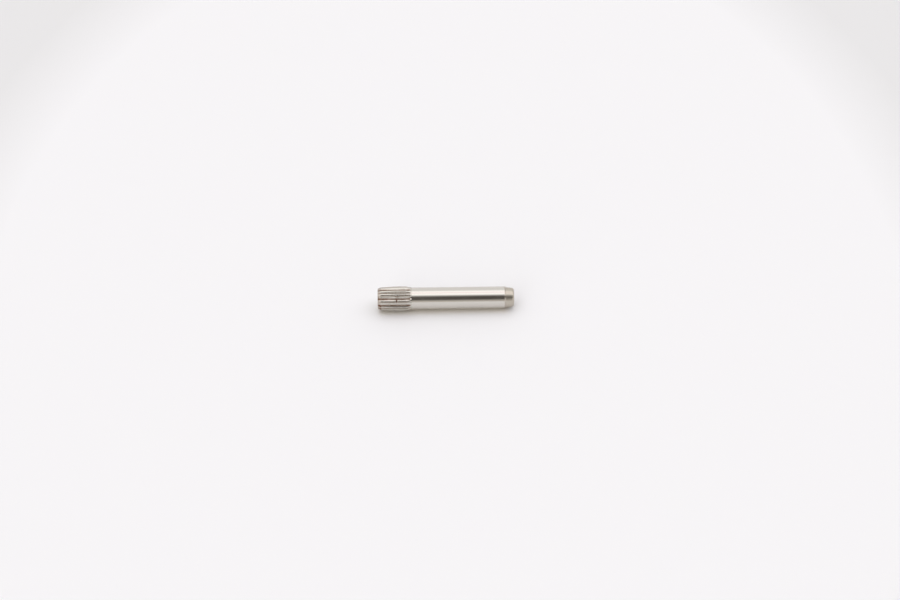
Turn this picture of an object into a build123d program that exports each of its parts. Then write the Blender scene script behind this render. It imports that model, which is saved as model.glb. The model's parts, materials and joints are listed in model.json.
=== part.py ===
"""A straight-knurled pin, turned in one piece from stainless steel bar.

The axis lies along X. The knurled end face is at X = 0 and the tapered lead-in tip points along +X.
The knurl is for pressing into a drilled plate; the plain shank stays free as a pivot or a stop.
The knurl's ridges have round tops, cut flat by a cone where they are not fully raised: behind the
end chamfer and next to the shank.
"""

import os
from math import cos, radians, sin, tan

from build123d import *

# Pin, in millimetres
pin_length = 18.4  # end face to end face
shank_diameter = 3.0

# Lead-in tip, turned below the ground shank
tip_length = 1.3  # end of the shank to the end face
tip_step_length = 0.2  # chamfered step between the shank and the taper
tip_step_depth = 0.09
tip_taper_angle = 9.0  # degrees from the axis to the taper
tip_corner_radius = 0.35

# Knurl
tooth_count = 20
knurl_length = 4.5  # end face to where the crests meet the shank
crest_height = 0.15  # crests above the shank's surface
crest_ramp_length = 0.75  # the crests slope down to the shank
groove_sink = 0.03  # groove roots below the shank's surface
groove_angle = 86.0  # degrees between a groove's flanks
groove_root_radius = 0.05
groove_run_out_angle = 20.0  # degrees, where a groove's root climbs to the shank

# Knurl's outer end
end_chamfer_length = 0.4
end_chamfer_depth = 0.17
crest_lead_length = 1.8  # the crests rise along this length past the chamfer
crest_lead_drop = 0.1  # crest level at the chamfer, below the full crest

# Room that the groove cutter has past the solid, and metal that it takes off the tops of the crests
cutter_room = 0.5
crest_allowance = 0.02

# Radii, from the axis out
shank_radius = shank_diameter / 2
root_radius = shank_radius - groove_sink
crest_radius = shank_radius + crest_height
lead_radius = crest_radius - crest_lead_drop
end_radius = lead_radius - end_chamfer_depth
blank_radius = crest_radius + crest_allowance
cutter_radius = crest_radius + cutter_room
tip_radius = shank_radius - tip_step_depth

# Stations along the axis
lead_end = end_chamfer_length + crest_lead_length * (blank_radius - lead_radius) / crest_lead_drop
ramp_start = knurl_length - crest_ramp_length * (blank_radius - shank_radius) / crest_height
shank_end = pin_length - tip_length
taper_start = shank_end + tip_step_length
taper_drop = (pin_length - taper_start) * tan(radians(tip_taper_angle))

# Ridges: sharp where two grooves' flanks meet, and then rounded down to the crests
half_groove_angle = radians(groove_angle / 2)
half_pitch = radians(180 / tooth_count)
half_ridge_angle = half_groove_angle - half_pitch
apex_radius = root_radius - groove_root_radius * (1 / sin(half_groove_angle) - 1)
sharp_crest_radius = apex_radius * (cos(half_pitch) + sin(half_pitch) / tan(half_ridge_angle))
crest_rounding = (sharp_crest_radius - crest_radius) / (1 / sin(half_ridge_angle) - 1)

# Run-out: every root leaves the metal on one cone
run_out_slope = tan(radians(groove_run_out_angle))
run_out_start = knurl_length - (shank_radius - apex_radius) / run_out_slope
run_out_end = knurl_length + (cutter_radius - shank_radius) / run_out_slope

# Corners of the ridges' section; one groove is straight below the axis, so that the pin lies on two crests
ridge_corners = []
for tooth in range(tooth_count):
    groove_turn = 2 * half_pitch * tooth
    crest_turn = groove_turn + half_pitch
    ridge_corners.append((apex_radius * sin(groove_turn), -apex_radius * cos(groove_turn)))
    ridge_corners.append((sharp_crest_radius * sin(crest_turn), -sharp_crest_radius * cos(crest_turn)))

with BuildPart() as groove_cutter:
    # A ring round the whole knurl, less the round-topped ridges that it leaves standing
    with BuildSketch(Plane.XZ):
        Polygon(
            (-cutter_room, apex_radius),
            (run_out_start, apex_radius),
            (run_out_end, cutter_radius),
            (-cutter_room, cutter_radius),
            align=None,
        )
    revolve(axis=Axis.X)
    with BuildSketch(Plane.YZ.offset(-2 * cutter_room)) as ridge_section:
        Polygon(*ridge_corners, align=None)
        corners = ridge_section.vertices().sort_by_distance((0, 0, 0))
        fillet(corners[:tooth_count], radius=groove_root_radius)
        corners = ridge_section.vertices().sort_by_distance((0, 0, 0))
        fillet(corners[-tooth_count:], radius=crest_rounding)
    extrude(amount=run_out_end + 3 * cutter_room, mode=Mode.SUBTRACT)

with BuildPart() as knurled_pin:
    # Turned blank: half the outline, spun about the axis
    with BuildSketch(Plane.XZ) as blank_outline:
        Polygon(
            (0, 0),
            (0, end_radius),
            (end_chamfer_length, lead_radius),
            (lead_end, blank_radius),
            (ramp_start, blank_radius),
            (knurl_length, shank_radius),
            (shank_end, shank_radius),
            (taper_start, tip_radius),
            (pin_length, tip_radius - taper_drop),
            (pin_length, 0),
            align=None,
        )
        tip_corner = blank_outline.vertices().group_by(Axis.X)[-1].sort_by(Axis.Y)[-1]
        fillet(tip_corner, radius=tip_corner_radius)
    revolve(axis=Axis.X)
    add(groove_cutter.part, mode=Mode.SUBTRACT)

os.makedirs("parts", exist_ok=True)
knurled_pin.part.label = "knurled_pin"
export_step(knurled_pin.part, "parts/knurled_pin.step")
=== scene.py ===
"""Surface of a straight-knurled steel pin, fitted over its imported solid, and a plain studio round it.

The pin lies along X with its knurled end face at X = 0. Lengths are in metres unless a name says mm.
"""

import json
from collections import namedtuple
from math import atan2, ceil, cos, pi, radians, sin, sqrt, tan

import bpy
from bpy.props import FloatProperty, FloatVectorProperty, IntProperty, PointerProperty
from mathutils import Matrix, Vector, noise


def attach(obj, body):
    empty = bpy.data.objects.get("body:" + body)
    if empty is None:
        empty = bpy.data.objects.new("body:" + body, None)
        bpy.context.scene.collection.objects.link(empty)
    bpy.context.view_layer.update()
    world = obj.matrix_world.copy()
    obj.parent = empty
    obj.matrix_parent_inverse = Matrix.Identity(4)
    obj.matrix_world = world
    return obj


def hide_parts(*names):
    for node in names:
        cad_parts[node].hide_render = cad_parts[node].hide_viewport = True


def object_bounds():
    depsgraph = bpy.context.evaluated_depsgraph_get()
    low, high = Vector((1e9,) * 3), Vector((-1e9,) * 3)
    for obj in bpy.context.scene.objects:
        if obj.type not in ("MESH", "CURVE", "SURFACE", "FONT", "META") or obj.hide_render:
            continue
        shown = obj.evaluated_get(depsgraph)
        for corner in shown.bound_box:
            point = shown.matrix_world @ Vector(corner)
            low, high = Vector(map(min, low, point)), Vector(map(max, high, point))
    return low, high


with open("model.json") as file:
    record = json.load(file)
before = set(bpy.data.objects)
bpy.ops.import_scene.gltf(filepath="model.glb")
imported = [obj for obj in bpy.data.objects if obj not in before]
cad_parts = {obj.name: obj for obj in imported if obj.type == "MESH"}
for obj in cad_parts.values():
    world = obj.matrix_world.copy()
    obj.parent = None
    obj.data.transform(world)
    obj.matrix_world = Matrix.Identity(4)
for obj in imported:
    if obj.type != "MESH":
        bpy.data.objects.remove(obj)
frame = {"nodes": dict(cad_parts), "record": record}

bl_info = {
    "name": "Knurled Pin",
    "version": (1, 0, 0),
    "blender": (4, 5, 0),
    "location": "3D View > Sidebar > Knurled Pin",
    "description": "Makes a turned steel pin with a straight knurl, and the plain studio it is shown in",
    "category": "Add Mesh",
}

MM = 0.001
NODE = "knurled_pin"
BODY = "root"

# Finishes, in the order of the pin's material slots
KNURLED, GROUND, STEPPED, TURNED, FACED = range(5)

# The mesh carries how much of the steel the film hides, from 0 to 1, under this name; at two corners of the
# end the film is painted shade
FILM_ATTRIBUTE = "film_and_painted_shade"

# Places round the pin are angles from +Y over +Z. Groove 0 is straight below the axis, at -90 degrees, and
# each ridge has the number of the groove before it. The wheel left the ridges on one side uneven: the stray
# of the groove in degrees, the height of the ridge in millimetres, and the slope of its top, up towards the
# next groove.
Ridge = namedtuple("Ridge", "stray height lean")
EVEN_RIDGE = Ridge(0, 0, 0)
UNEVEN_RIDGES = {
    9: Ridge(-6, 0.02, -0.6),
    10: Ridge(0.5, 0, 0.3),
    11: Ridge(1.5, -0.05, 0.1),
    12: Ridge(-0.5, -0.04, -0.6),
    13: Ridge(-2, -0.03, 0.6),
    14: Ridge(-5, -0.02, -0.6),
    15: Ridge(0, 0, -0.2),
    16: Ridge(0, 0.02, -0.2),
    17: Ridge(-0.5, -0.02, -0.2),
    18: Ridge(2, 0, 0),
}

# A small mark: its place along the pin and half its length in millimetres, its place round the pin and half
# its height in degrees, and its amount
Mark = namedtuple("Mark", "along half_length around half_height amount")
# Nicks across the ridges, and their depth in millimetres
NICKS = (Mark(2.56, 0.13, 152, 9, 0.14),)
# Places where a groove bends, and how far in degrees
BENDS = (Mark(0.1, 0.35, 128, 8, 5), Mark(2.62, 0.35, 128, 8, 5))
# Dark film marks: two thick ones at corners of the end are painted shade, the floor's shadow as the chamfer
# reflects it, and a thin darker film runs along the back of one ridge
SHADE_AND_FILM_SPOTS = (
    Mark(0.32, 0.35, 180, 6, 1.0),
    Mark(0.28, 0.25, 202, 7, 0.9),
    Mark(2.4, 5, 60, 12, 0.3),
)
# A mark's film is made this many times as thick and cut off at full, so that its middle is even
FILM_GAIN = 2

# How closely the grooves follow the chamfer down towards the end face
CHAMFER_FOLLOW = 0.8
# A ridge's round top may take this share of its flanks, and is never sharper than this, in millimetres
WIDEST_TOP = 0.97
SHARPEST_TOP = 0.01
# Places of a ridge's points, as shares of the ridge's width from its middle
HALF_RIDGE = (0.5, 0.48, 0.455, 0.425, 0.385, 0.335, 0.28, 0.23, 0.18, 0.135, 0.09, 0.045)

# Distances between the rings of points, in millimetres: close where the outline cuts the grooves
FACE_SPACING = 0.3
KNURL_SPACING = 0.07
SHANK_SPACING = 1.5
TIP_SPACING = 0.12
# A ring stands this close to each end of a straight run, in millimetres, so that the shading of its corners
# stays narrow
EDGE_SUPPORT = 0.015
# Steps along the arc of a corner
ARC_STEPS = 4
TIP_CORNER_STEPS = 12

# Waves in the crests: one a crest and this long in millimetres, and then both made finer by the factor
CREST_WAVE = 0.7
CREST_FINENESS = 1.3
# Waves in the grooves: their length in millimetres, the radius of the circle in the noise that stands for
# one turn round the pin, and a shift that keeps it off the crests' circle
GROOVE_WAVE = 2.2
GROOVE_CIRCLE = 3
NOISE_SHIFT = 7

# Fine texture of a surface: its spacing along the pin, its length round it and its height, in
# millimetres, and the detail of its noise. Patches have no height, because they only change how rough or
# how oily the steel is.
Texture = namedtuple("Texture", "along around height detail")
GRINDING_LINES = Texture(0.05, 5, 0.0004, 3.0)
FEED_LINES = Texture(0.06, 6, 0.003, 2.0)
PRESSED_SCALES = Texture(0.2, 0.12, 0.004, 2.0)
HANDLING_PATCHES = Texture(2.5, 1.5, 0, 2.0)
FILM_PATCHES = Texture(0.35, 0.35, 0, 3.0)
# Rings on a faced end: their spacing and height in millimetres
FACING_SPACING = 0.05
FACING_HEIGHT = 0.0015

# A shape in the light tent round the pin: its edges across the tent, in X of the direction, and over it, in
# degrees up from the front horizon. The four edges are where it starts, is full, starts to fade and ends.
Shape = namedtuple("Shape", "across over")
WHOLE_TENT = (-200, -190, 190, 200)
LEFT_WALL = Shape((-1.1, -1.0, -0.75, -0.45), WHOLE_TENT)
RIGHT_WALL = Shape((0.45, 0.8, 1.0, 1.1), WHOLE_TENT)
FILL = Shape((-0.75, -0.6, -0.3, -0.15), (-5, 8, 45, 60))
PANEL = Shape((0.34, 0.48, 0.6, 0.7), (15, 28, 48, 62))
SOFTBOX = Shape((-0.75, -0.6, 0.8, 0.9), (67, 76, 112, 130))
SEAM = Shape(SOFTBOX.across, (93, 96, 99, 102))
APRON = Shape((-0.3, -0.12, 0.34, 0.48), (-30, -20, 20, 40))
GAP = Shape(APRON.across, (7, 28, 50, 78))
RIGHT_GAP = Shape((0.58, 0.66, 0.84, 0.92), (28, 40, 55, 68))

# The floor is even inside an oval, longest from front to back, and darkens outside it with painted shade,
# as
# where the light falls off: its shift along the pin and its fade in millimetres
OVAL_SHIFT = -5
OVAL_SCALE = (1, 0.65, 1)
OVAL_FADE = (63, 75)
# The patch of floor under the pin that is painted warm light, the steel's light thrown into the pin's
# shadow,
# in millimetres: its edges across the pin, then its start from the knurled end face, and its end from where
# the crests touch the floor
PAINTED_BOUNCE_ACROSS = (-2.0, -0.6, 0.6, 2.0)
PAINTED_BOUNCE_START = (-0.5, 1)
PAINTED_BOUNCE_END = (13, 14.5)

cad_lowest, cad_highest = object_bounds()
mount_sizes = {mount["name"]: mount["dims"] for mount in frame["record"]["mounts"]}


def srgb(code):
    """Linear colour of an sRGB hex code."""
    levels = [int(code[i : i + 2], 16) / 255 for i in (1, 3, 5)]
    return [v / 12.92 if v <= 0.04045 else ((v + 0.055) / 1.055) ** 2.4 for v in levels]


def length(name, description, default_mm):
    """A length property, stored in metres."""
    return FloatProperty(
        name=name,
        description=description,
        default=default_mm * MM,
        min=0.0,
        precision=5,
        subtype="DISTANCE",
        unit="LENGTH",
    )


def angle(name, description, default_degrees):
    """An angle property, stored in radians."""
    return FloatProperty(
        name=name,
        description=description,
        default=radians(default_degrees),
        subtype="ANGLE",
        unit="ROTATION",
    )


def number(name, description, default, highest=1.0):
    """A plain number property, from zero up."""
    return FloatProperty(name=name, description=description, default=default, min=0.0, max=highest)


def colour(name, description, code):
    """A colour property with an sRGB hex default."""
    return FloatVectorProperty(
        name=name, description=description, default=srgb(code), min=0.0, max=1.0, size=3, subtype="COLOR"
    )


class PinSizes(bpy.types.PropertyGroup):
    """Sizes of the turned and knurled pin"""

    pin_length: length("Length", "From end face to end face", (cad_highest - cad_lowest).x / MM)
    shank_radius: length("Shank radius", "Radius of the ground shank", mount_sizes["shank"]["r_mm"])
    shank_length: length("Shank length", "From the knurl to the tip", mount_sizes["shank"]["length_mm"])

    knurl_length: length("Knurl length", "End face to shank", mount_sizes["knurl"]["length_mm"])
    crest_radius: length("Crest radius", "Radius over the knurl's crests", mount_sizes["knurl"]["r_mm"])
    tooth_count: IntProperty(name="Teeth", description="Teeth round the knurl", default=20, min=6, max=60)
    crest_ramp_length: length("Crest ramp", "Where the crests slope down to the shank", 0.75)
    groove_sink: length("Groove sink", "Depth of the groove roots below the shank's surface", 0.03)
    groove_angle: angle("Groove angle", "Between a groove's two flanks", 86)
    groove_root_radius: length("Root radius", "Rounding at the bottom of a groove", 0.05)
    knurl_spill: length("Knurl spill", "How far the wheel's scuffs reach onto the shank", 0.12)
    run_out_angle: angle("Run-out angle", "Slope of a groove's root where it climbs to the shank", 20)

    end_chamfer_length: length("End chamfer length", "Chamfer on the knurled end, along the axis", 0.4)
    end_chamfer_depth: length("End chamfer depth", "Chamfer on the knurled end, towards the axis", 0.17)
    chamfer_groove_start: length("Chamfer groove start", "Where the grooves are full in the chamfer", 0.12)
    crest_lead_length: length("Crest lead length", "Where the crests rise to full height", 1.8)
    crest_lead_drop: length("Crest lead drop", "Crest level at the chamfer, below the full crest", 0.1)

    tip_step_length: length("Tip step length", "Chamfered step from the shank to the taper", 0.2)
    tip_step_depth: length("Tip step depth", "Drop from the shank to the start of the taper", 0.09)
    tip_taper_angle: angle("Taper angle", "From the axis to the taper", 9)
    tip_corner_radius: length("Tip corner", "Rounding at the end of the taper", 0.35)

    edge_break: length("Edge break", "Rounding of a turned edge", 0.025)
    blend_radius: length("Blend radius", "Rounding where two gentle slopes meet", 0.6)
    shoulder_radius: length("Shoulder radius", "Rounding where the crests meet the shank", 2.6)
    shank_end_radius: length("Shank end radius", "Rounding at the tip end of the shank", 0.2)


class PinWear(bpy.types.PropertyGroup):
    """Small faults of a pin that has been handled"""

    crest_unevenness: length("Crest unevenness", "How much the pressed crests rise and fall", 0.012)
    groove_wander: angle("Groove wander", "How far a groove strays round the pin", 0.35)
    film_fade: length("Film fade", "Where the film thins out, before the shank", 0.15)
    film_height: length("Film height", "How far up the ridges the brownish film reaches", 0.06)
    chamfer_oil: number("Chamfer oil", "How much of the chamfer's steel the brownish film hides", 0.3)


class PinFinishes(bpy.types.PropertyGroup):
    """Colours and roughness of the bare steel"""

    ground_colour: colour("Ground steel", "Clean stainless steel of the shank", "#D5D1CA")
    ground_roughness: number("Ground roughness", "Roughness of the ground shank", 0.13)
    turned_colour: colour("Turned steel", "Steel as the tool left it, duller than the shank", "#BFB8AC")
    turned_roughness: number("Turned roughness", "Roughness of the turned tip and end faces", 0.27)
    step_colour: colour("Step", "Steel of the small step, dull from the edge of the tool", "#BAB2A7")
    step_roughness: number("Step roughness", "Roughness of the small step", 0.24)
    crest_colour: colour("Crests", "Steel of the ridges that the wheel pressed", "#CCC8C0")
    crest_roughness: number("Crest roughness", "Roughness of the crests burnished by the wheel", 0.17)
    root_colour: colour("Groove roots", "Brownish film of dried cutting oil in the grooves", "#6E472D")
    root_roughness: number("Root roughness", "Roughness of the film in the grooves", 0.6)


class StudioSettings(bpy.types.PropertyGroup):
    """Floor, light and camera"""

    floor_colour: colour("Floor", "Matt white floor", "#F3F3F5")
    # Painted shade: the board darkens towards its far corners, where the light falls off
    floor_falloff_shade_colour: colour("Floor corners", "Floor where the light falls off", "#E6E6E7")
    # Painted warm light: the steel's light thrown onto the floor in the pin's shadow
    floor_painted_bounce_colour: colour("Floor near the pin", "Floor under the pin, yellowed by oil", "#F7F1E9")
    floor_size: length("Floor size", "Side of the square floor", 6000)
    wall_colour: colour("Walls", "White walls in front and behind", "#F8F7F7")
    left_wall_colour: colour("Left wall", "Wall behind the knurled end, in shade", "#E6E3DE")
    right_wall_colour: colour("Right wall", "Wall beyond the tip", "#EDEBE9")
    panel_colour: colour("Grey panel", "Panel at the right of the camera", "#B5B0A9")
    softbox_level: number("Softbox level", "Brightness of the softbox overhead", 1.45, 4.0)
    fill_level: number("Fill level", "Brightness of the panel at the left of the camera", 2.2, 4.0)
    seam_colour: colour("Softbox seam", "Tint of the seam between the softbox's two strips", "#F6DEE6")
    apron_colour: colour("Apron", "Grey board under the gap", "#D3CEC7")
    gap_colour: colour("Gap", "Dark gap that the camera looks through", "#5A5652")
    lens_mm: number("Lens", "Focal length in millimetres", 100, 300)
    camera_distance: length("Camera distance", "From the camera to what it aims at", 338)
    camera_elevation: angle("Camera elevation", "Above the horizon", 40.6)
    camera_roll: angle("Camera roll", "Turn about the line of sight", -0.72)
    aim_offset_x: length("Aim offset", "Along the pin, from its middle to the camera's aim", 0.54)
    aim_drop: length("Aim drop", "From the axis down to the camera's aim", 0.355)


# Outline of the turned blank


def outline_corners(size):
    """Corners of half the outline, from end face to end face: place along X, radius and rounding."""
    lead_radius = size.crest_radius - size.crest_lead_drop
    shank_end = size.knurl_length + size.shank_length
    taper_start = shank_end + size.tip_step_length
    taper_radius = size.shank_radius - size.tip_step_depth
    taper_drop = (size.pin_length - taper_start) * tan(size.tip_taper_angle)
    return [
        (0, 0, 0),
        (0, lead_radius - size.end_chamfer_depth, size.edge_break),
        (size.end_chamfer_length, lead_radius, size.edge_break),
        (size.end_chamfer_length + size.crest_lead_length, size.crest_radius, size.blend_radius),
        (size.knurl_length - size.crest_ramp_length, size.crest_radius, size.blend_radius),
        (size.knurl_length, size.shank_radius, size.shoulder_radius),
        (shank_end, size.shank_radius, size.shank_end_radius),
        (taper_start, taper_radius, size.edge_break),
        (size.pin_length, taper_radius - taper_drop, size.tip_corner_radius),
        (size.pin_length, 0, 0),
    ]


def corner_arc(before, corner, after, radius, steps):
    """Points of the arc that rounds a corner of the outline."""
    inward, outward = (corner - before).normalized(), (after - corner).normalized()
    turn = inward.angle_signed(outward)
    reach = radius * tan(abs(turn) / 2)
    start = corner - inward * reach
    side = Vector((-inward.y, inward.x)) * (-1 if turn > 0 else 1)
    centre = start + side * radius
    arm = start - centre
    return [centre + Matrix.Rotation(-turn * i / steps, 2) @ arm for i in range(steps + 1)]


def run_places(run_length, spacing, support):
    """Places of the stations inside a straight run, as shares of it, with one close to each end."""
    count = max(1, ceil(run_length / spacing))
    places = {i / count for i in range(1, count)}
    if run_length > 4 * support:
        places |= {support / run_length, 1 - support / run_length}
    return sorted(places)


def rounded_outline(size):
    """Stations along the outline: straight runs joined by arcs."""
    support = EDGE_SUPPORT * MM
    points = [(Vector((x, r)), rounding) for x, r, rounding in outline_corners(size)]
    arcs = [[points[0][0]]]
    for (before, _), (corner, rounding), (after, _) in zip(points, points[1:], points[2:]):
        steps = TIP_CORNER_STEPS if rounding == size.tip_corner_radius else ARC_STEPS
        arcs.append(corner_arc(before, corner, after, rounding, steps))
    arcs.append([points[-1][0]])

    stations = []
    for arc, following in zip(arcs, arcs[1:]):
        start, end = arc[-1], following[0]
        spacing = station_spacing(size, (start + end) / 2)
        places = run_places((end - start).length, spacing, support)
        stations += arc
        stations += [start.lerp(end, place) for place in places]
    return stations + arcs[-1]


def station_spacing(size, point):
    """Distance between the stations round a point of the outline."""
    if point.x in (0, size.pin_length):
        return FACE_SPACING * MM
    if point.x < size.knurl_length:
        return KNURL_SPACING * MM
    if point.x < size.knurl_length + size.shank_length:
        return SHANK_SPACING * MM
    return TIP_SPACING * MM


# Knurl


def soft_min(a, b, reach):
    """The smaller of two lengths, blended where they differ by less than reach."""
    mix = max(0.0, min(1.0, 0.5 + 0.5 * (b - a) / reach))
    return b + (a - b) * mix - reach * mix * (1 - mix)


def soft_max(a, b, reach):
    """The larger of two lengths, blended where they differ by less than reach."""
    return -soft_min(-a, -b, reach)


class Knurl:
    """Grooves and round-topped ridges, as a radius at each place along and round the pin."""

    def __init__(self, size):
        self.size = size
        self.half_angle = size.groove_angle / 2
        self.root_radius = size.shank_radius - size.groove_sink
        self.apex_radius = self.root_radius - size.groove_root_radius * (1 / sin(self.half_angle) - 1)
        self.lead_radius = size.crest_radius - size.crest_lead_drop
        self.unevenness = [UNEVEN_RIDGES.get(ridge, EVEN_RIDGE) for ridge in range(size.tooth_count)]
        pitch = 2 * pi / size.tooth_count
        grooves = [n * pitch - pi / 2 + radians(uneven.stray) for n, uneven in enumerate(self.unevenness)]
        self.ridges = list(zip(grooves, grooves[1:] + [grooves[0] + 2 * pi]))

    def floor_radius(self, x):
        """Radius of a groove's bottom: level, then up the run-out's cone."""
        cone = self.size.shank_radius + (x - self.size.knurl_length) * tan(self.size.run_out_angle)
        return max(self.root_radius, cone)

    def ridge_radius(self, half_width, level, turn):
        """Radius of a ridge whose top has that level, turn being the angle from the ridge's middle."""
        lean_in = self.half_angle - half_width
        sharp_tip = self.apex_radius * (cos(half_width) + sin(half_width) / tan(lean_in))
        widest = WIDEST_TOP * self.apex_radius * sin(half_width) / cos(lean_in)
        rounding = max(SHARPEST_TOP * MM, min(widest, (sharp_tip - level) / (1 / sin(lean_in) - 1)))
        centre = sharp_tip - rounding / sin(lean_in)
        if abs(turn) < atan2(rounding * cos(lean_in), centre + rounding * sin(lean_in)):
            return centre * cos(turn) + sqrt(rounding**2 - (centre * sin(turn)) ** 2)
        return self.apex_radius * sin(self.half_angle) / sin(self.half_angle - half_width + abs(turn))

    def radius(self, x, blank_radius, ridge, turn):
        """Radius of the surface, and of the wheel's own mark; turn is the angle from the ridge's middle."""
        start, end = self.ridges[ridge]
        half_width = (end - start) / 2
        uneven = self.unevenness[ridge]
        level = max(blank_radius, self.lead_radius) + uneven.height * MM
        lean = uneven.lean * level * turn * (1 - (turn / half_width) ** 2)
        pressed = self.ridge_radius(half_width, level, turn) + lean
        pressed = soft_max(pressed, self.floor_radius(x), self.size.groove_root_radius)
        chamfer_share = min(1.0, x / self.size.chamfer_groove_start)
        chamfered = max(0.0, self.lead_radius - blank_radius) * chamfer_share
        return min(blank_radius, pressed - CHAMFER_FOLLOW * chamfered), pressed

    def turns(self, ridge):
        """Angles of the points of one ridge's section from its middle, close together in the grooves."""
        start, end = self.ridges[ridge]
        shares = [-share for share in HALF_RIDGE] + [0] + list(reversed(HALF_RIDGE[1:]))
        return [share * (end - start) for share in shares]


class Wear:
    """Uneven crests and wandering grooves."""

    def __init__(self, size, wear):
        self.size = size
        self.wear = wear
        self.pitch = 2 * pi * size.crest_radius / size.tooth_count

    def knurl_share(self, x):
        """1 on the knurl, fading to 0 where it meets the shank."""
        return max(0.0, min(1.0, (self.size.knurl_length - x) / self.size.crest_ramp_length))

    def crest_change(self, x, around):
        """Change of the blank's radius from pressing."""
        across = self.size.crest_radius / self.pitch
        place = Vector((x / (CREST_WAVE * MM), sin(around) * across, cos(around) * across))
        return noise.noise(place * CREST_FINENESS) * self.wear.crest_unevenness * self.knurl_share(x)

    def wander(self, x, around):
        """Change of the angle round the pin."""
        circle = GROOVE_CIRCLE * sin(around) + NOISE_SHIFT, GROOVE_CIRCLE * cos(around)
        place = Vector((x / (GROOVE_WAVE * MM), *circle))
        strayed = sum(radians(mark.amount) * mark_share(mark, x, around) for mark in BENDS)
        return noise.noise(place) * self.wear.groove_wander * self.knurl_share(x) + strayed


def mark_share(mark, x, around):
    """1 in the middle of a mark, fading to 0 at its edges."""
    along = abs(x - mark.along * MM) / (mark.half_length * MM)
    reach = (around - radians(mark.around) + pi) % (2 * pi) - pi
    return max(0.0, 1 - along) * max(0.0, 1 - (reach / radians(mark.half_height)) ** 2)


def pin_mesh(size, wear_settings):
    """Mesh of the whole pin: rings of points from one end face's centre to the other's."""
    knurl = Knurl(size)
    wear = Wear(size, wear_settings)
    stations = rounded_outline(size)
    first, rings, last = stations[0], stations[1:-1], stations[-1]

    vertices, films = [(first.x, 0, 0)], [0.0]
    for station in rings:
        for ridge, (start, end) in enumerate(knurl.ridges):
            for turn in knurl.turns(ridge):
                around = (start + end) / 2 + turn
                radius, film = surface_point(wear_settings, knurl, wear, station, ridge, turn, around)
                around += wear.wander(station.x, around)
                vertices.append((station.x, radius * cos(around), radius * sin(around)))
                films.append(film)
    vertices.append((last.x, 0, 0))
    films.append(0.0)

    count = (len(vertices) - 2) // len(rings)
    following = [(i + 1) % count for i in range(count)]
    faces = [(0, 1 + after, 1 + i) for i, after in enumerate(following)]
    finishes = [FACED] * count
    for ring, (here, there) in enumerate(zip(rings, rings[1:])):
        start = 1 + ring * count
        following_ring = start + count
        faces += [
            (start + i, start + after, following_ring + after, following_ring + i)
            for i, after in enumerate(following)
        ]
        finishes += [finish_between(size, here, there)] * count
    end = len(vertices) - 1
    faces += [(end - count + i, end - count + after, end) for i, after in enumerate(following)]
    finishes += [FACED] * count

    mesh = bpy.data.meshes.new("knurled_pin_surface")
    mesh.from_pydata(vertices, [], faces)
    mesh.polygons.foreach_set("material_index", finishes)
    mesh.polygons.foreach_set("use_smooth", [True] * len(faces))
    mesh.attributes.new(FILM_ATTRIBUTE, "FLOAT", "POINT").data.foreach_set("value", films)
    mesh.validate()
    mesh.update()
    return mesh


def surface_point(settings, knurl, wear, station, ridge, turn, around):
    """Radius of the finished surface at one point of a ring, and how much the film and painted shade hide
    of it.
    """
    size = knurl.size
    if station.x <= 0 or station.x > size.knurl_length:
        return station.y, 0.0
    blank = station.y + wear.crest_change(station.x, around)
    radius, pressed = knurl.radius(station.x, blank, ridge, turn)
    film_top = knurl.root_radius + settings.film_height
    fade = min(1.0, (size.knurl_length - station.x) / settings.film_fade)
    film = max(0.0, min(1.0, (film_top - pressed) / settings.film_height)) * fade
    if station.x < size.end_chamfer_length:
        film = max(film, settings.chamfer_oil)
    # The first two spots are painted shade: the floor's shadow as the end's front corners reflect it
    for mark in SHADE_AND_FILM_SPOTS:
        film = max(film, min(1.0, FILM_GAIN * mark.amount * mark_share(mark, station.x, around)))
    # Each nick is also darkened all over with the film
    for mark in NICKS:
        share = mark_share(mark, station.x, around)
        radius -= mark.amount * MM * share
        film = max(film, min(1.0, FILM_GAIN * share))
    return radius, film


def finish_between(size, here, there):
    """Finish of the ring of faces between two stations."""
    middle = (here.x + there.x) / 2
    if middle in (0, size.pin_length):
        return FACED
    if middle < size.knurl_length + size.knurl_spill:
        return KNURLED
    shank_end = size.knurl_length + size.shank_length
    if middle < shank_end:
        return GROUND
    return STEPPED if middle < shank_end + size.tip_step_length else TURNED


# Materials


def add_node(tree, kind, settings=None, inputs=None):
    """Adds a node, sets its settings and fills its sockets with values or with other nodes' outputs."""
    node = tree.nodes.new(kind)
    for name, value in (settings or {}).items():
        setattr(node, name, value)
    for socket, value in (inputs or {}).items():
        if isinstance(value, bpy.types.NodeSocket):
            tree.links.new(value, node.inputs[socket])
        else:
            node.inputs[socket].default_value = value
    return node


def new_steel(name):
    """An empty metal material, its node tree and its shader."""
    material = bpy.data.materials.new(name)
    material.use_nodes = True
    tree = material.node_tree
    tree.nodes.clear()
    shader = add_node(tree, "ShaderNodeBsdfPrincipled", inputs={"Metallic": 1.0})
    add_node(tree, "ShaderNodeOutputMaterial", inputs={"Surface": shader.outputs["BSDF"]})
    return material, tree, shader


def drawn_out_noise(tree, texture):
    """Noise drawn out along and round the pin to the size of a texture's lines or patches."""
    coordinates = add_node(tree, "ShaderNodeTexCoord")
    scale = [1 / (size * MM) for size in (texture.along, texture.around, texture.around)]
    scaled = add_node(
        tree, "ShaderNodeMapping", inputs={"Vector": coordinates.outputs["Object"], "Scale": scale}
    )
    return add_node(
        tree,
        "ShaderNodeTexNoise",
        inputs={"Vector": scaled.outputs["Vector"], "Scale": 1.0, "Detail": texture.detail},
    )


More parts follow.
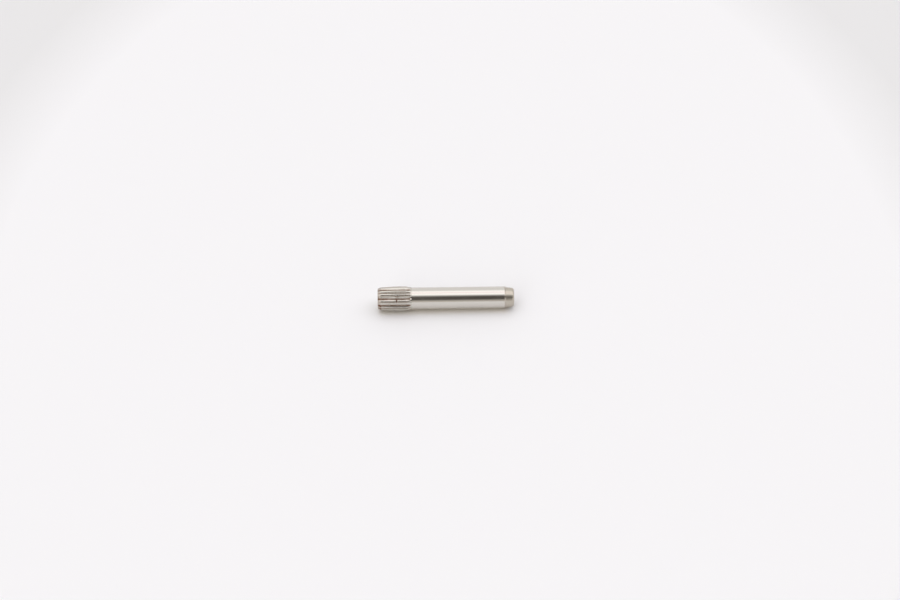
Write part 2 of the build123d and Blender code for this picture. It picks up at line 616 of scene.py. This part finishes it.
def ground_shank_material(finish):
    """Stainless steel, centreless ground: clean lines of light, blurred only along the pin."""
    material, tree, shader = new_steel("centreless_ground_stainless")
    shader.inputs["Base Color"].default_value = (*finish.ground_colour, 1)
    lines = drawn_out_noise(tree, GRINDING_LINES)
    bump = add_node(
        tree,
        "ShaderNodeBump",
        inputs={"Strength": 1.0, "Distance": GRINDING_LINES.height * MM, "Height": lines.outputs["Fac"]},
    )
    tree.links.new(bump.outputs["Normal"], shader.inputs["Normal"])
    # Handling leaves faint patches
    patches = drawn_out_noise(tree, HANDLING_PATCHES)
    roughness = add_node(
        tree,
        "ShaderNodeMapRange",
        inputs={
            "Value": patches.outputs["Fac"],
            "From Min": 0.3,
            "From Max": 0.7,
            "To Min": finish.ground_roughness - 0.02,
            "To Max": finish.ground_roughness + 0.04,
        },
    )
    tree.links.new(roughness.outputs["Result"], shader.inputs["Roughness"])
    return material


def pressed_knurl_material(finish):
    """Stainless steel, pressed by a knurling wheel: bright burnished crests and dull, oily grooves."""
    material, tree, shader = new_steel("pressed_knurl_stainless")
    # The film attribute also carries painted shade at two corners of the end
    film = add_node(tree, "ShaderNodeAttribute", {"attribute_name": FILM_ATTRIBUTE})
    patches = drawn_out_noise(tree, FILM_PATCHES)
    patchy = add_node(
        tree,
        "ShaderNodeMapRange",
        inputs={
            "Value": patches.outputs["Fac"],
            "From Min": 0.3,
            "From Max": 0.6,
            "To Min": 0.6,
            "To Max": 1.0,
        },
    )
    cover = add_node(
        tree,
        "ShaderNodeMath",
        {"operation": "MULTIPLY"},
        {0: film.outputs["Fac"], 1: patchy.outputs["Result"]},
    )
    steel = mix_colour(tree, cover.outputs["Value"], finish.crest_colour, finish.root_colour)
    tree.links.new(steel, shader.inputs["Base Color"])
    roughness = add_node(
        tree,
        "ShaderNodeMapRange",
        inputs={
            "Value": film.outputs["Fac"],
            "To Min": finish.crest_roughness,
            "To Max": finish.root_roughness,
        },
    )
    tree.links.new(roughness.outputs["Result"], shader.inputs["Roughness"])
    # The wheel drags the surface into flat scales
    scales = drawn_out_noise(tree, PRESSED_SCALES)
    bump = add_node(
        tree,
        "ShaderNodeBump",
        inputs={"Strength": 1.0, "Distance": PRESSED_SCALES.height * MM, "Height": scales.outputs["Fac"]},
    )
    tree.links.new(bump.outputs["Normal"], shader.inputs["Normal"])
    return material


def turned_material(name, steel_colour, roughness):
    """Stainless steel, as turned: fine feed lines spread the light along the pin, duller than the shank."""
    material, tree, shader = new_steel(name)
    shader.inputs["Base Color"].default_value = (*steel_colour, 1)
    shader.inputs["Roughness"].default_value = roughness
    lines = drawn_out_noise(tree, FEED_LINES)
    bump = add_node(
        tree,
        "ShaderNodeBump",
        inputs={"Strength": 1.0, "Distance": FEED_LINES.height * MM, "Height": lines.outputs["Fac"]},
    )
    tree.links.new(bump.outputs["Normal"], shader.inputs["Normal"])
    return material


def faced_end_material(finish):
    """Stainless steel, faced in the lathe: dull, with fine rings about the centre."""
    material, tree, shader = new_steel("faced_stainless")
    shader.inputs["Base Color"].default_value = (*finish.turned_colour, 1)
    shader.inputs["Roughness"].default_value = finish.turned_roughness
    coordinates = add_node(tree, "ShaderNodeTexCoord")
    # The texture has a ring for each time 20 x scale x distance grows by 2 pi
    scale = 2 * pi / (20 * (FACING_SPACING * MM))
    rings = add_node(
        tree,
        "ShaderNodeTexWave",
        {"wave_type": "RINGS", "rings_direction": "X"},
        {
            "Vector": coordinates.outputs["Object"],
            "Scale": scale,
            "Distortion": 0.6,
            "Detail": 1.0,
        },
    )
    bump = add_node(
        tree,
        "ShaderNodeBump",
        inputs={"Strength": 1.0, "Distance": FACING_HEIGHT * MM, "Height": rings.outputs["Fac"]},
    )
    tree.links.new(bump.outputs["Normal"], shader.inputs["Normal"])
    return material


def floor_material(size, studio):
    """Matt white board: pale and even, with painted shade at its far corners and painted warm light under
    the pin.
    """
    material = bpy.data.materials.new("matt_white_board")
    material.use_nodes = True
    tree = material.node_tree
    shader = tree.nodes["Principled BSDF"]
    coordinates = add_node(tree, "ShaderNodeTexCoord")
    oval = add_node(
        tree,
        "ShaderNodeMapping",
        inputs={
            "Vector": coordinates.outputs["Object"],
            "Location": (OVAL_SHIFT * MM, 0, 0),
            "Scale": OVAL_SCALE,
        },
    )
    distance = add_node(tree, "ShaderNodeVectorMath", {"operation": "LENGTH"}, {0: oval.outputs["Vector"]})
    # Painted shade: the board darkens outside the oval, towards its far corners
    fade_start, fade_end = OVAL_FADE
    far = add_node(
        tree,
        "ShaderNodeMapRange",
        inputs={"Value": distance.outputs["Value"], "From Min": fade_start * MM, "From Max": fade_end * MM},
    )
    place = add_node(tree, "ShaderNodeSeparateXYZ", inputs={"Vector": coordinates.outputs["Object"]})
    # Painted warm light: a warm patch under the pin, where the steel throws its light into its shadow
    bounce_mask_across = band(tree, place.outputs["Y"], *[edge * MM for edge in PAINTED_BOUNCE_ACROSS])
    # The floor's own origin is where the knurl's crests touch it
    knurl_end = size.crest_ramp_length - size.knurl_length
    rise = [knurl_end + edge * MM for edge in PAINTED_BOUNCE_START]
    fall = [edge * MM for edge in PAINTED_BOUNCE_END]
    bounce_mask_along = band(tree, place.outputs["X"], *rise, *fall)
    near = add_node(tree, "ShaderNodeMath", {"operation": "MULTIPLY"}, {0: bounce_mask_across, 1: bounce_mask_along})
    board = mix_colour(tree, far.outputs["Result"], studio.floor_colour, studio.floor_falloff_shade_colour)
    board = mix_colour(tree, near.outputs["Value"], board, studio.floor_painted_bounce_colour)
    tree.links.new(board, shader.inputs["Base Color"])
    shader.inputs["Roughness"].default_value = 0.9
    shader.inputs["Specular IOR Level"].default_value = 0.0
    return material


def mix_colour(tree, factor, first, second):
    """Runs from the first colour to the second; a colour is a list or another node's output."""
    a, b = [value if isinstance(value, bpy.types.NodeSocket) else (*value, 1) for value in (first, second)]
    # Sockets 6 and 7 are the node's two colours, and output 2 is its colour
    mix = add_node(tree, "ShaderNodeMix", {"data_type": "RGBA"}, {"Factor": factor, 6: a, 7: b})
    return mix.outputs[2]


# Studio


def band(tree, value, rise_from, rise_to, fall_from, fall_to):
    """1 between two soft edges and 0 outside them."""
    rise = add_node(
        tree,
        "ShaderNodeMapRange",
        {"interpolation_type": "SMOOTHSTEP"},
        {"Value": value, "From Min": rise_from, "From Max": rise_to},
    )
    fall = add_node(
        tree,
        "ShaderNodeMapRange",
        {"interpolation_type": "SMOOTHSTEP"},
        {"Value": value, "From Min": fall_from, "From Max": fall_to, "To Min": 1.0, "To Max": 0.0},
    )
    both = add_node(
        tree,
        "ShaderNodeMath",
        {"operation": "MULTIPLY"},
        {0: rise.outputs["Result"], 1: fall.outputs["Result"]},
    )
    return both.outputs["Value"]


def shape_share(tree, across, over, shape):
    """1 inside a shape in the light tent and 0 outside it."""
    wide = band(tree, across, *shape.across)
    high = band(tree, over, *[radians(edge) for edge in shape.over])
    share = add_node(tree, "ShaderNodeMath", {"operation": "MULTIPLY"}, {0: wide, 1: high})
    return share.outputs["Value"]


def make_world(studio):
    """White walls, greyer at the sides, a softbox overhead and a dark gap at the front for the camera."""
    world = bpy.data.worlds.new("light_tent")
    bpy.context.scene.world = world
    world.use_nodes = True
    tree = world.node_tree
    tree.nodes.clear()
    coordinates = add_node(tree, "ShaderNodeTexCoord")
    parts = add_node(tree, "ShaderNodeSeparateXYZ", inputs={"Vector": coordinates.outputs["Generated"]})
    across = parts.outputs["X"]
    forward = add_node(tree, "ShaderNodeMath", {"operation": "MULTIPLY"}, {0: parts.outputs["Y"], 1: -1.0})
    angle_over = add_node(
        tree,
        "ShaderNodeMath",
        {"operation": "ARCTAN2"},
        {0: parts.outputs["Z"], 1: forward.outputs["Value"]},
    )
    over = angle_over.outputs["Value"]
    light = studio.wall_colour
    for shape, shape_colour in (
        (LEFT_WALL, studio.left_wall_colour),
        (RIGHT_WALL, studio.right_wall_colour),
        (FILL, [studio.fill_level] * 3),
        (PANEL, studio.panel_colour),
        (SOFTBOX, [studio.softbox_level] * 3),
        (SEAM, [studio.softbox_level * share for share in studio.seam_colour]),
        (APRON, studio.apron_colour),
        (GAP, studio.gap_colour),
        (RIGHT_GAP, studio.gap_colour),
    ):
        light = mix_colour(tree, shape_share(tree, across, over, shape), light, shape_colour)
    background = add_node(tree, "ShaderNodeBackground", inputs={"Color": light, "Strength": 1.0})
    add_node(tree, "ShaderNodeOutputWorld", inputs={"Surface": background.outputs["Background"]})


def make_floor(size, studio):
    """Flat floor that touches the pin where it rests: under the crests and the far end of the shank."""
    knurl_x = size.knurl_length - size.crest_ramp_length
    knurl_z = cad_lowest.z
    shank_x = size.knurl_length + size.shank_length
    tilt = atan2(-size.shank_radius - knurl_z, shank_x - knurl_x)
    half = studio.floor_size / 2
    mesh = bpy.data.meshes.new("studio_floor")
    corners = [(-half, -half, 0), (half, -half, 0), (half, half, 0), (-half, half, 0)]
    mesh.from_pydata(corners, [], [(0, 1, 2, 3)])
    floor = bpy.data.objects.new("studio_floor", mesh)
    bpy.context.scene.collection.objects.link(floor)
    floor.location = (knurl_x, 0, knurl_z)
    floor.rotation_euler = (0, -tilt, 0)
    floor.data.materials.append(floor_material(size, studio))


def make_camera(size, studio):
    """Camera in front of the pin, looking down on it."""
    data = bpy.data.cameras.new("studio_camera")
    data.lens = studio.lens_mm
    data.sensor_width = 36
    data.clip_start = 0.01
    data.clip_end = 10
    camera = bpy.data.objects.new("studio_camera", data)
    bpy.context.scene.collection.objects.link(camera)
    back = Vector((0, -cos(studio.camera_elevation), sin(studio.camera_elevation)))
    aim = Vector((size.pin_length / 2 + studio.aim_offset_x, 0, -studio.aim_drop))
    camera.location = aim + back * studio.camera_distance
    roll = Matrix.Rotation(studio.camera_roll, 4, "Z")
    camera.rotation_mode = "QUATERNION"
    level_turn = (-back).to_track_quat("-Z", "Y").to_matrix().to_4x4()
    camera.rotation_quaternion = (level_turn @ roll).to_quaternion()
    bpy.context.scene.camera = camera


# Add-on


class KNURLEDPIN_OT_make_pin(bpy.types.Operator):
    """Makes the pin's surface over its solid"""

    bl_idname = "knurled_pin.make_pin"
    bl_label = "Make Pin"

    def execute(self, context):
        scene = context.scene
        if NODE not in frame["nodes"]:
            raise RuntimeError("the packed frame has no pin to cover")
        mesh = pin_mesh(scene.pin_sizes, scene.pin_wear)
        finish = scene.pin_finishes
        # In the order of the finishes' numbers
        for material in (
            pressed_knurl_material(finish),
            ground_shank_material(finish),
            turned_material("form_turned_stainless", finish.step_colour, finish.step_roughness),
            turned_material("as_turned_stainless", finish.turned_colour, finish.turned_roughness),
            faced_end_material(finish),
        ):
            mesh.materials.append(material)
        pin = bpy.data.objects.new("knurled_pin_surface", mesh)
        scene.collection.objects.link(pin)
        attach(pin, BODY)
        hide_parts(NODE)
        return {"FINISHED"}


class KNURLEDPIN_OT_make_studio(bpy.types.Operator):
    """Makes the floor, the light and the camera"""

    bl_idname = "knurled_pin.make_studio"
    bl_label = "Make Studio"

    def execute(self, context):
        scene = context.scene
        make_world(scene.pin_studio)
        make_floor(scene.pin_sizes, scene.pin_studio)
        make_camera(scene.pin_sizes, scene.pin_studio)
        scene.view_settings.view_transform = "Standard"
        return {"FINISHED"}


class KNURLEDPIN_PT_panel(bpy.types.Panel):
    """Lists the pieces that the add-on makes"""

    bl_idname = "KNURLEDPIN_PT_panel"
    bl_label = "Knurled Pin"
    bl_space_type = "VIEW_3D"
    bl_region_type = "UI"
    bl_category = "Knurled Pin"

    def draw(self, context):
        scene = context.scene
        for operator, groups in (
            (KNURLEDPIN_OT_make_pin, (scene.pin_sizes, scene.pin_wear, scene.pin_finishes)),
            (KNURLEDPIN_OT_make_studio, (scene.pin_studio,)),
        ):
            box = self.layout.box()
            box.operator(operator.bl_idname)
            for group in groups:
                for name in group.__annotations__:
                    box.prop(group, name)


CLASSES = (
    PinSizes,
    PinWear,
    PinFinishes,
    StudioSettings,
    KNURLEDPIN_OT_make_pin,
    KNURLEDPIN_OT_make_studio,
    KNURLEDPIN_PT_panel,
)


def register():
    """Adds the classes, and the settings on each scene."""
    for cls in CLASSES:
        bpy.utils.register_class(cls)
    bpy.types.Scene.pin_sizes = PointerProperty(type=PinSizes)
    bpy.types.Scene.pin_wear = PointerProperty(type=PinWear)
    bpy.types.Scene.pin_finishes = PointerProperty(type=PinFinishes)
    bpy.types.Scene.pin_studio = PointerProperty(type=StudioSettings)


def unregister():
    """Takes away what register added."""
    del bpy.types.Scene.pin_studio
    del bpy.types.Scene.pin_finishes
    del bpy.types.Scene.pin_wear
    del bpy.types.Scene.pin_sizes
    for cls in reversed(CLASSES):
        bpy.utils.unregister_class(cls)


def main():
    """Makes everything."""
    register()
    bpy.ops.knurled_pin.make_pin()
    bpy.ops.knurled_pin.make_studio()


if __name__ == "__main__":
    main()
